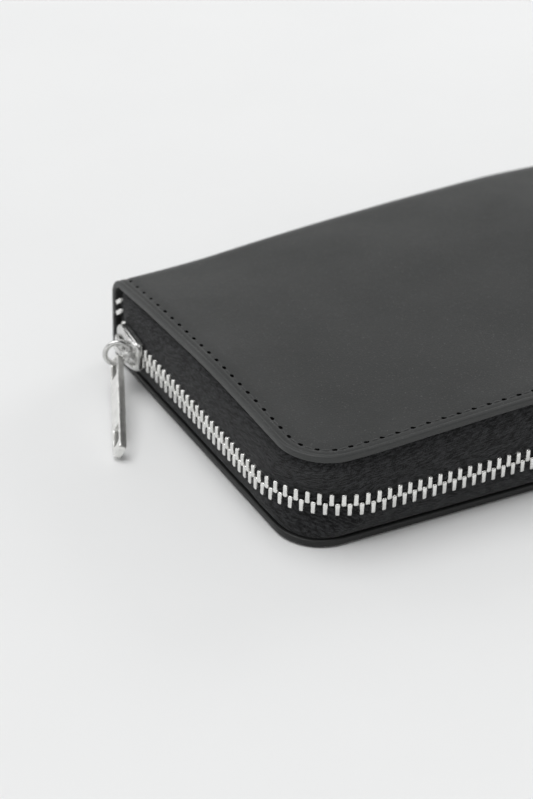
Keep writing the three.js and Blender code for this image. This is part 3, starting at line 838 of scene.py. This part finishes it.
def stamped(name, outlines, thickness, bevel, material, matrix, remesh=0.0):
    """A flat piece with rounded edges, cut from closed outlines in x and y, centred on z = 0."""
    curve = bpy.data.curves.new(name, "CURVE")
    curve.dimensions = "2D"
    curve.fill_mode = "BOTH"
    curve.extrude = (thickness / 2 - bevel) * MM
    curve.bevel_depth = bevel * MM
    curve.bevel_resolution = 3
    curve.offset = -bevel * MM
    for outline in outlines:
        spline = curve.splines.new("POLY")
        spline.points.add(len(outline) - 1)
        for point, (x, y) in zip(spline.points, outline):
            point.co = (x * MM, y * MM, 0, 1)
        spline.use_cyclic_u = True
    source = show(name + "_outline", curve)
    graph = bpy.context.evaluated_depsgraph_get()
    mesh = bpy.data.meshes.new_from_object(source.evaluated_get(graph))
    bpy.data.objects.remove(source)
    edit_mesh(mesh, lambda work: bmesh.ops.remove_doubles(work, verts=work.verts, dist=0.002 * MM))
    edit_mesh(mesh, face_outwards)
    obj = show(name, mesh)
    if remesh:
        modifier = obj.modifiers.new("remesh", "REMESH")
        modifier.mode = "VOXEL"
        modifier.voxel_size = remesh * MM
        graph = bpy.context.evaluated_depsgraph_get()
        obj.data = bpy.data.meshes.new_from_object(obj.evaluated_get(graph))
        obj.modifiers.clear()
    obj.data.transform(matrix)
    shade_smooth(obj.data, material)
    return obj


def join(name, first, *others):
    """Joins meshes into the first one."""
    for other in others:
        edit_mesh(first.data, lambda work: work.from_mesh(other.data))
        bpy.data.objects.remove(other)
    first.name = name
    return first


def basis(origin, x_way, z_way):
    """A matrix whose x and z run the given ways, with its origin in millimetres."""
    z = Vector(z_way).normalized()
    x = Vector(x_way)
    x = (x - z * x.dot(z)).normalized()
    y = z.cross(x)
    matrix = Matrix((x, y, z)).transposed().to_4x4()
    matrix.translation = Vector(origin) * MM
    return matrix


def rounded_outline(corners, radius, steps=5):
    """Closed points round a polygon whose corners are cut by arcs of this radius."""
    points = []
    count = len(corners)
    for i, corner in enumerate(corners):
        here = Vector(corner)
        before = Vector(corners[i - 1]) - here
        after = Vector(corners[(i + 1) % count]) - here
        cut = min(radius, before.length / 2.05, after.length / 2.05)
        a = here + before.normalized() * cut
        b = here + after.normalized() * cut
        for k in range(steps + 1):
            t = k / steps
            points.append(tuple(a * (1 - t) ** 2 + here * (2 * t * (1 - t)) + b * t * t))
    return points


def strap(name, path, width, thickness, matrix):
    """A rounded strip bent along a path in x and z, of this width along y."""
    points = []
    ring = squared_circle(20, width, thickness, 0.5, 0.6)
    for i, (x, z) in enumerate(path):
        before = Vector(path[max(i - 1, 0)])
        after = Vector(path[min(i + 1, len(path) - 1)])
        ahead = (after - before).normalized()
        normal = Vector((-ahead.y, ahead.x))
        for across, lift in ring:
            points.append((x + normal.x * lift, across, z + normal.y * lift))
    obj = new_object(name, points, loft_faces(len(path), len(ring)), SLIDER_LOOK)
    obj.data.transform(matrix)
    return obj


def swelling(start, length, low, rise, power):
    """A path in x and z that rises to its middle and comes down again."""
    path = []
    for i in range(13):
        along = i / 12
        path.append((start + length * along, low + rise * math.sin(math.pi * along) ** power))
    return path


def slider(name, matrix, scale):
    """A zip slider: two wings joined by a post, with turned-in rims and a bail on top."""
    sized = matrix @ Matrix.Diagonal((scale, scale, scale, 1))
    tail = 3.5
    shoulder = 4.7
    outline = rounded_outline([
        (-6.3, -tail), (0.8, -shoulder), (3.9, -shoulder), (6.0, -2.4), (5.0, 0),
        (6.0, 2.4), (3.9, shoulder), (0.8, shoulder), (-6.3, tail),
    ], 1.6)

    def shifted(height):
        return sized @ Matrix.Translation((0, 0, height * MM))

    wedge = rounded_outline([(2.0, 0.45), (2.0, -0.45), (5.5, -0.8), (5.5, 0.8)], 0.5)
    middle = -TOOTH_DEPTH / 2
    parts = [
        stamped(name + "_outer", [outline], 1.0, 0.3, SLIDER_LOOK, shifted(0.75)),
        stamped(name + "_inner", [outline], 1.0, 0.3, SLIDER_LOOK, shifted(-TOOTH_DEPTH - 0.75)),
        stamped(name + "_post", [wedge], TOOTH_DEPTH + 1.2, 0.1, SLIDER_LOOK, shifted(middle)),
    ]
    for side in (-1, 1):
        rim = rounded_outline([
            (-6.1, side * (tail - 0.1)), (0.9, side * (shoulder - 0.1)),
            (3.4, side * (shoulder - 0.1)), (3.4, side * (shoulder - 0.8)),
            (0.9, side * (shoulder - 0.8)), (-6.1, side * (tail - 0.8)),
        ], 0.4)
        parts.append(stamped(name + "_rim", [rim], 1.5, 0.2, SLIDER_LOOK, shifted(0.1)))
    for side in (-1, 1):
        lean = Matrix.Rotation(math.atan2(shoulder - tail, 7.1) * side, 4, "Z")
        turned = sized @ Matrix.Translation((0, side * 3.65 * MM, 0)) @ lean
        parts.append(strap(name + "_ridge", swelling(-5.6, 8.8, 0.8, 0.6, 0.5), 1.5, 1.1, turned))
    parts.append(strap(name + "_cap", swelling(1.4, 3.6, 1.2, 0.75, 0.6), 2.6, 1.0, sized))
    bail = []
    for i in range(17):
        angle = math.pi * i / 16
        bail.append((-signed_power(math.cos(angle), 0.5) * 3.0, 0.9 + 2.5 * abs(math.sin(angle)) ** 0.6))
    parts.append(strap(name + "_bail", bail, 1.4, 0.95, sized))
    return join(name, *parts)


main_matrix = basis((-CHAIN_HALF - TOOTH_DEPTH / 2, SLIDER_Y, CHAIN_HEIGHT), (0, 1, 0), (-1, 0, 0))
main_slider = slider("zip_slider", main_matrix, 1)
describe(main_slider, "zip_metal", "slider", "main_slider")


# ---- the pull ----

RING_TURN = 0.3
RING_CENTRE = Vector((-100.9, SLIDER_Y - 1.6, CHAIN_HEIGHT + 0.15))
RING_NORMAL = Vector((-math.sin(RING_TURN), -math.cos(RING_TURN), 0))
RING_RADIUS = 2.85
RING_WIRE = 0.62


def pull_ring():
    """A round wire ring, a little flattened on its faces, with a closed joint."""
    matrix = basis(RING_CENTRE, (1, 0, 0), RING_NORMAL)
    points = []
    turns = 72
    sides = 18
    joint = 50
    for i in range(turns):
        turn = 2 * math.pi * i / turns
        wire = RING_WIRE - (0.06 if i == joint else 0.0)
        for k in range(sides):
            angle = 2 * math.pi * k / sides
            radius = RING_RADIUS + wire * math.cos(angle)
            points.append((
                radius * math.cos(turn), radius * math.sin(turn), 0.94 * wire * math.sin(angle),
            ))
    faces = loft_faces(turns, sides, capped=False)
    last = (turns - 1) * sides
    for k in range(sides):
        j = (k + 1) % sides
        faces.append((last + k, last + j, j, k))
    obj = new_object("ring", points, faces, SLIDER_LOOK)
    obj.data.transform(matrix)
    return obj


describe(pull_ring(), "zip_metal", "ring", "pull_ring")


def oblong(start, end, half_width, radius):
    return rounded_outline(
        [(start, -half_width), (end, -half_width), (end, half_width), (start, half_width)], radius
    )


BAR_LENGTH = 34
BAR_THICKNESS = 1.9
BAR_HALF_WIDTH = 2.0
SLOT_HALF_WIDTH = 1.3
PIVOT_FROM_END = 2.1
HAMMERING = 0.12
BAR_AWAY = Vector((-0.385, -0.9, -0.155)).normalized()
BAR_FACE = Vector((-0.88, 0.27, 0.42))


def bar_outline():
    """The bar's outline: round where it meets the ring, square with soft corners at the far end."""
    middle = BAR_LENGTH / 2
    far = [p for p in oblong(0, BAR_LENGTH, BAR_HALF_WIDTH, 1.3) if p[0] > middle]
    near = [p for p in oblong(0, BAR_LENGTH, BAR_HALF_WIDTH, 1.95) if p[0] < middle]
    return far + [p for p in near if p[1] > 0] + [p for p in near if p[1] <= 0]


def pull_bar():
    """A long flat bar with a slot near each end and a hammered surface."""
    pivot = RING_CENTRE - Vector((0, 0, RING_RADIUS))
    face = (BAR_FACE - BAR_AWAY * BAR_FACE.dot(BAR_AWAY)).normalized()
    origin = pivot - BAR_AWAY * PIVOT_FROM_END - face.cross(BAR_AWAY) * 0.1
    matrix = basis(origin, BAR_AWAY, face)
    outlines = [
        bar_outline(),
        oblong(1.1, 7.5, SLOT_HALF_WIDTH, 0.9),
        oblong(BAR_LENGTH - 9, BAR_LENGTH - 2.6, SLOT_HALF_WIDTH, 0.9),
    ]
    obj = stamped("bar", outlines, BAR_THICKNESS, 0.3, PULL_LOOK, Matrix.Identity(4), remesh=0.16)

    def soften(work):
        for _ in range(4):
            bmesh.ops.smooth_vert(
                work, verts=work.verts, factor=0.5, use_axis_x=True, use_axis_y=True, use_axis_z=True
            )

    edit_mesh(obj.data, soften)
    for vertex in obj.data.vertices:
        place = vertex.co / MM
        dent = noise.noise(place * 0.62 + Vector((7, 1, 4)))
        vertex.co -= vertex.normal * (HAMMERING * max(0.0, dent) * MM)
    obj.data.transform(matrix)
    return obj


describe(pull_bar(), "zip_metal", "bar", "pull_bar")


# ---- inside sheets ----

def soft_sheet(node, body, radius, lip=0.0):
    """A lining or panel: a thin sheet with rounded edges and an optional folded front edge."""
    low, high = node_box(node)
    thickness = high.z - low.z
    share = max(0.0, (high.z - MIDDLE) / (THICKNESS - MIDDLE)) if body == "upper_half" else 0.0

    def place(x, t, lift):
        ripple = 0.08 * noise.noise(Vector((x * 0.05, t * 0.06, low.z)))
        follow = share * (upper_height(x, t) - THICKNESS)
        return Vector((x, t, high.z + follow + lift + ripple * (1 - abs(x) / high.x)))

    outer, inner = edge_profiles(thickness, radius)
    if lip:
        outer = outer[:-1] + [(1.6, 0), (1.9, -lip), (2.4, -lip), outer[-1]]
        inner = inner[:-1] + [(1.6, -thickness), (1.9, lip - thickness), (2.4, lip - thickness), inner[-1]]
    obj = sheet(
        node + "_soft", high.x, low.y, high.y, radius, (outer, inner), place, LINING_LOOK,
        cells=(18, 6, 30),
    )
    describe(obj, "lining", body, node)


for half in ("lower", "upper"):
    body = half + "_half"
    soft_sheet(half + "_lining", body, 6)
    soft_sheet(half + "_bill_panel", body, 5, 0.12)
    for step in (1, 2, 3):
        soft_sheet(f"{half}_card_slot_{step}", body, 3, 0.1)
    soft_sheet(f"pocket_{half}_wall", "spine", 4, 0.1)


def spine_liner():
    """A flat strip with rounded edges between the two linings."""
    low, high = node_box("spine_lining")
    points = []
    rows = 24
    section = squared_circle(12, high.y - low.y, high.z - low.z, 0.4, 0.3)
    for i in range(rows + 1):
        x = low.x + (high.x - low.x) * i / rows
        for y, z in section:
            points.append((x, (low.y + high.y) / 2 + y, MIDDLE + z))
    obj = new_object("spine_lining_soft", points, loft_faces(rows + 1, len(section)), LINING_LOOK)
    describe(obj, "lining", "spine", "spine_lining")


spine_liner()


def gusset(side, half):
    """A pleated side wall between one half and the coin pocket."""
    node = f"{side}_{half}_gusset"
    low, high = node_box(node)
    sign = 1 if side == "right" else -1
    pocket_low = node_box("pocket_lower_wall")[0].z
    pocket_high = node_box("pocket_upper_wall")[1].z
    base = low.z if half == "lower" else high.z
    end = pocket_low if half == "lower" else pocket_high
    outer_x = max(abs(low.x), abs(high.x))
    inner_x = min(abs(low.x), abs(high.x))
    pocket_x = node_box("pocket_lower_wall")[1].x
    rows = 26
    steps = 14
    points = []
    for j in range(rows + 1):
        y = low.y + (high.y - low.y) * j / rows
        taper = 1 - 0.5 * j / rows
        centre = []
        for k in range(steps + 1):
            t = k / steps
            fold = math.sin(math.pi * t)
            x = outer_x + (pocket_x - outer_x) * t - (pocket_x - inner_x + 4) * fold * taper
            centre.append(Vector((sign * x, y, base + (end - base) * t)))
        section = [p + Vector((0, 0, 0.15)) for p in centre]
        section += [p - Vector((0, 0, 0.15)) for p in reversed(centre)]
        points += section
    faces = loft_faces(rows + 1, 2 * (steps + 1))
    obj = new_object(node + "_soft", points, faces, LINING_LOOK)
    describe(obj, "lining", None, node)
    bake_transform(obj)


for side in ("left", "right"):
    for half in ("lower", "upper"):
        gusset(side, half)


# ---- coin pocket ----

def coin_row(half, up):
    """Teeth of one coin zip row, which runs straight along X facing the mouth."""
    places = []
    pitch = TOOTH_PITCH * COIN_SCALE
    x = COIN_SLIDER_X + 1.5 + (pitch / 2 if up > 0 else 0)
    foot = CHAIN_HALF_WIDTH * COIN_SCALE
    while x < COIN_CHAIN_HALF - 0.5:
        origin = Vector((x, COIN_CHAIN_Y, MIDDLE + up * foot))
        places.append((origin, Vector((1, 0, 0)), Vector((0, -1, 0)), Vector((0, 0, -up))))
        x += pitch
    row = tooth_row(f"coin_{half}_teeth", places, COIN_SCALE)
    describe(row, "zip_metal", "spine", f"pocket_{half}_teeth")


coin_row("lower", -1)
coin_row("upper", 1)


def coin_tape(half, up):
    """A tape from its teeth, round the slider's edge and back on to the pocket wall."""
    node = f"pocket_{half}_tape"
    low, high = node_box(node)
    foot = CHAIN_HALF_WIDTH * COIN_SCALE
    crest = max(abs(low.z - MIDDLE), abs(high.z - MIDDLE)) - 0.25
    wall = abs(node_box(f"pocket_{half}_wall")[1 if up > 0 else 0].z - MIDDLE) + 0.3
    path = rounded_outline([
        (COIN_CHAIN_Y, foot), (COIN_CHAIN_Y, crest), (COIN_CHAIN_Y + 3.4, crest),
        (COIN_CHAIN_Y + 3.6, wall), (high.y, wall),
    ], 0.9)[6:-6]
    path = [(COIN_CHAIN_Y, foot - 0.1)] + path + [(high.y, wall)]
    points = []
    uvs = []
    rows = 60
    for i in range(rows + 1):
        x = low.x + (high.x - low.x) * i / rows
        section = []
        for k, (y, z) in enumerate(path):
            before = Vector(path[max(k - 1, 0)])
            after = Vector(path[min(k + 1, len(path) - 1)])
            ahead = (after - before).normalized() * COIN_TAPE_HALF_THICKNESS
            section.append((y, z, -ahead.y, ahead.x))
        ring_points = [(y + ny, z + nz) for y, z, ny, nz in section]
        ring_points += [(y - ny, z - nz) for y, z, ny, nz in reversed(section)]
        travelled = 0.0
        for k, (y, z) in enumerate(ring_points):
            if k:
                travelled += math.dist(ring_points[k - 1], (y, z))
            points.append((x, y, MIDDLE + up * z))
            uvs.append((x, travelled))
    faces = loft_faces(rows + 1, 2 * len(path))
    obj = new_object(node + "_woven", points, faces, TAPE_LOOK, uvs)
    describe(obj, "zip_tape", "spine", node)


coin_tape("lower", -1)
coin_tape("upper", 1)

coin_face = COIN_CHAIN_Y - COIN_SCALE * TOOTH_DEPTH / 2
coin_matrix = basis((COIN_SLIDER_X, coin_face, MIDDLE), (-1, 0, 0), (0, -1, 0))
coin_slider = slider("coin_zip_runner", coin_matrix, COIN_SCALE)
describe(coin_slider, "zip_metal", "coin_zip_slider", "coin_slider")

tab_matrix = coin_matrix @ Matrix.Diagonal((COIN_SCALE, COIN_SCALE, COIN_SCALE, 1))
coin_tab = stamped(
    "coin_tab",
    [oblong(-18.45, 0.55, 2.3, 1.3), oblong(-4.05, -0.55, 1.2, 0.5), oblong(-17, -13.6, 1.1, 0.9)],
    1.0, 0.3, SLIDER_LOOK, tab_matrix @ Matrix.Translation((0, 0, 2.2 * MM)),
)
describe(coin_tab, "zip_metal", "coin_zip_pull", "coin_pull")


def crimped_stop(node, name, body, along, way):
    """A folded metal stop clamped over both tapes: it runs along the zip and faces the way given."""
    low, high = node_box(node)
    size = high - low
    half_length = abs(size.dot(Vector(along))) / 2
    depth = abs(size.dot(Vector(way)))
    outline = oblong(-half_length, half_length, size.z / 2, 0.6)
    obj = stamped(name, [outline], depth, 0.35, TOOTH_LOOK, basis((low + high) / 2, along, way))
    describe(obj, "zip_metal", body, node)


crimped_stop("zip_end_stop", "zip_stop", "lower_half", (0, 1, 0), (1, 0, 0))
crimped_stop("pocket_stop", "coin_zip_stop", "spine", (1, 0, 0), (0, -1, 0))


# ---- table and light ----

TABLE_HALF_SIZE = 30.0


def make_floor():
    """A plain pale table, just under the wallet."""
    material, tree, shader = material_base("table", (0.83, 0.835, 0.835), 0.55)
    mottle = noise_texture(tree, object_coordinates(tree), 12, 4)
    shade = ramp(tree, mottle, [(0.3, (0.82, 0.825, 0.825)), (0.7, (0.84, 0.845, 0.845))])
    tree.links.new(shade, shader.inputs["Base Color"])
    floor = bpy.data.meshes.new("table")
    size = TABLE_HALF_SIZE
    corners = [(-size, -size, 0), (size, -size, 0), (size, size, 0), (-size, size, 0)]
    floor.from_pydata(corners, [], [(0, 1, 2, 3)])
    floor.materials.append(material)
    obj = show("table", floor)
    obj.location.z = -0.02 * MM


make_floor()


def area_light(name, place, target, size, power):
    """A rectangular softbox; its place, target and size are in metres, its power in watts."""
    data = bpy.data.lights.new(name, "AREA")
    data.shape = "RECTANGLE"
    data.size, data.size_y = size
    data.energy = power
    light = show(name, data)
    light.location = place
    light.rotation_euler = (Vector(target) - Vector(place)).to_track_quat("-Z", "Y").to_euler()


def overhead_light():
    """A very wide, soft sun, so that the table is evenly lit however far it runs."""
    data = bpy.data.lights.new("overhead", "SUN")
    data.energy = 1.86
    data.angle = math.radians(55)
    show("overhead", data).rotation_euler = Vector((-0.2, 0.15, 1.0)).to_track_quat("Z", "Y").to_euler()


overhead_light()
area_light("right_softbox", (1.05, 0.52, 0.5), (-0.1, 0, 0), (0.5, 0.4), 2.5)
area_light("back_left_softbox", (-0.5, 0.95, 0.5), (-0.05, 0.03, 0.02), (0.5, 0.4), 0.6)


def make_world():
    """A pale backdrop near the horizon, dimmer overhead."""
    world = bpy.data.worlds.new("studio")
    bpy.context.scene.world = world
    world.use_nodes = True
    tree = world.node_tree
    split = tree.nodes.new("ShaderNodeSeparateXYZ")
    tree.links.new(tree.nodes.new("ShaderNodeTexCoord").outputs["Generated"], split.inputs["Vector"])
    shade = ramp(tree, split.outputs["Z"], [(0.05, (1.0, 1.0, 0.995)), (0.5, (0.26, 0.26, 0.261))])
    tree.links.new(shade, tree.nodes["Background"].inputs["Color"])
    tree.nodes["Background"].inputs["Strength"].default_value = 1.2


make_world()
bpy.context.scene.view_settings.view_transform = "Standard"


# ---- camera ----

CAMERA_ANGLES = (-28.317, 30.927, 1.522)
CAMERA_PLACE = Vector((-284.69, -383.94, 270.11))
FOCUS_PLACE = Vector((-80, -40, 15))


def add_camera():
    """A long lens that looks down on the slider's corner, focused on the near corner."""
    azimuth, elevation, roll = (math.radians(angle) for angle in CAMERA_ANGLES)
    back = Vector((
        math.sin(azimuth) * math.cos(elevation),
        -math.cos(azimuth) * math.cos(elevation),
        math.sin(elevation),
    ))
    right = Vector((math.cos(azimuth), math.sin(azimuth), 0))
    up = back.cross(right)
    rolled_right = right * math.cos(roll) + up * math.sin(roll)
    rolled_up = up * math.cos(roll) - right * math.sin(roll)
    matrix = Matrix((rolled_right, rolled_up, back)).transposed().to_4x4()
    matrix.translation = CAMERA_PLACE * MM
    data = bpy.data.cameras.new("camera")
    data.lens = 100
    data.sensor_width = 36
    data.clip_start = 0.01
    data.dof.use_dof = True
    focus = show("focus", None)
    focus.location = FOCUS_PLACE * MM
    data.dof.focus_object = focus
    data.dof.aperture_fstop = 22
    camera = show("camera", data)
    camera.matrix_world = matrix
    bpy.context.scene.camera = camera


add_camera()
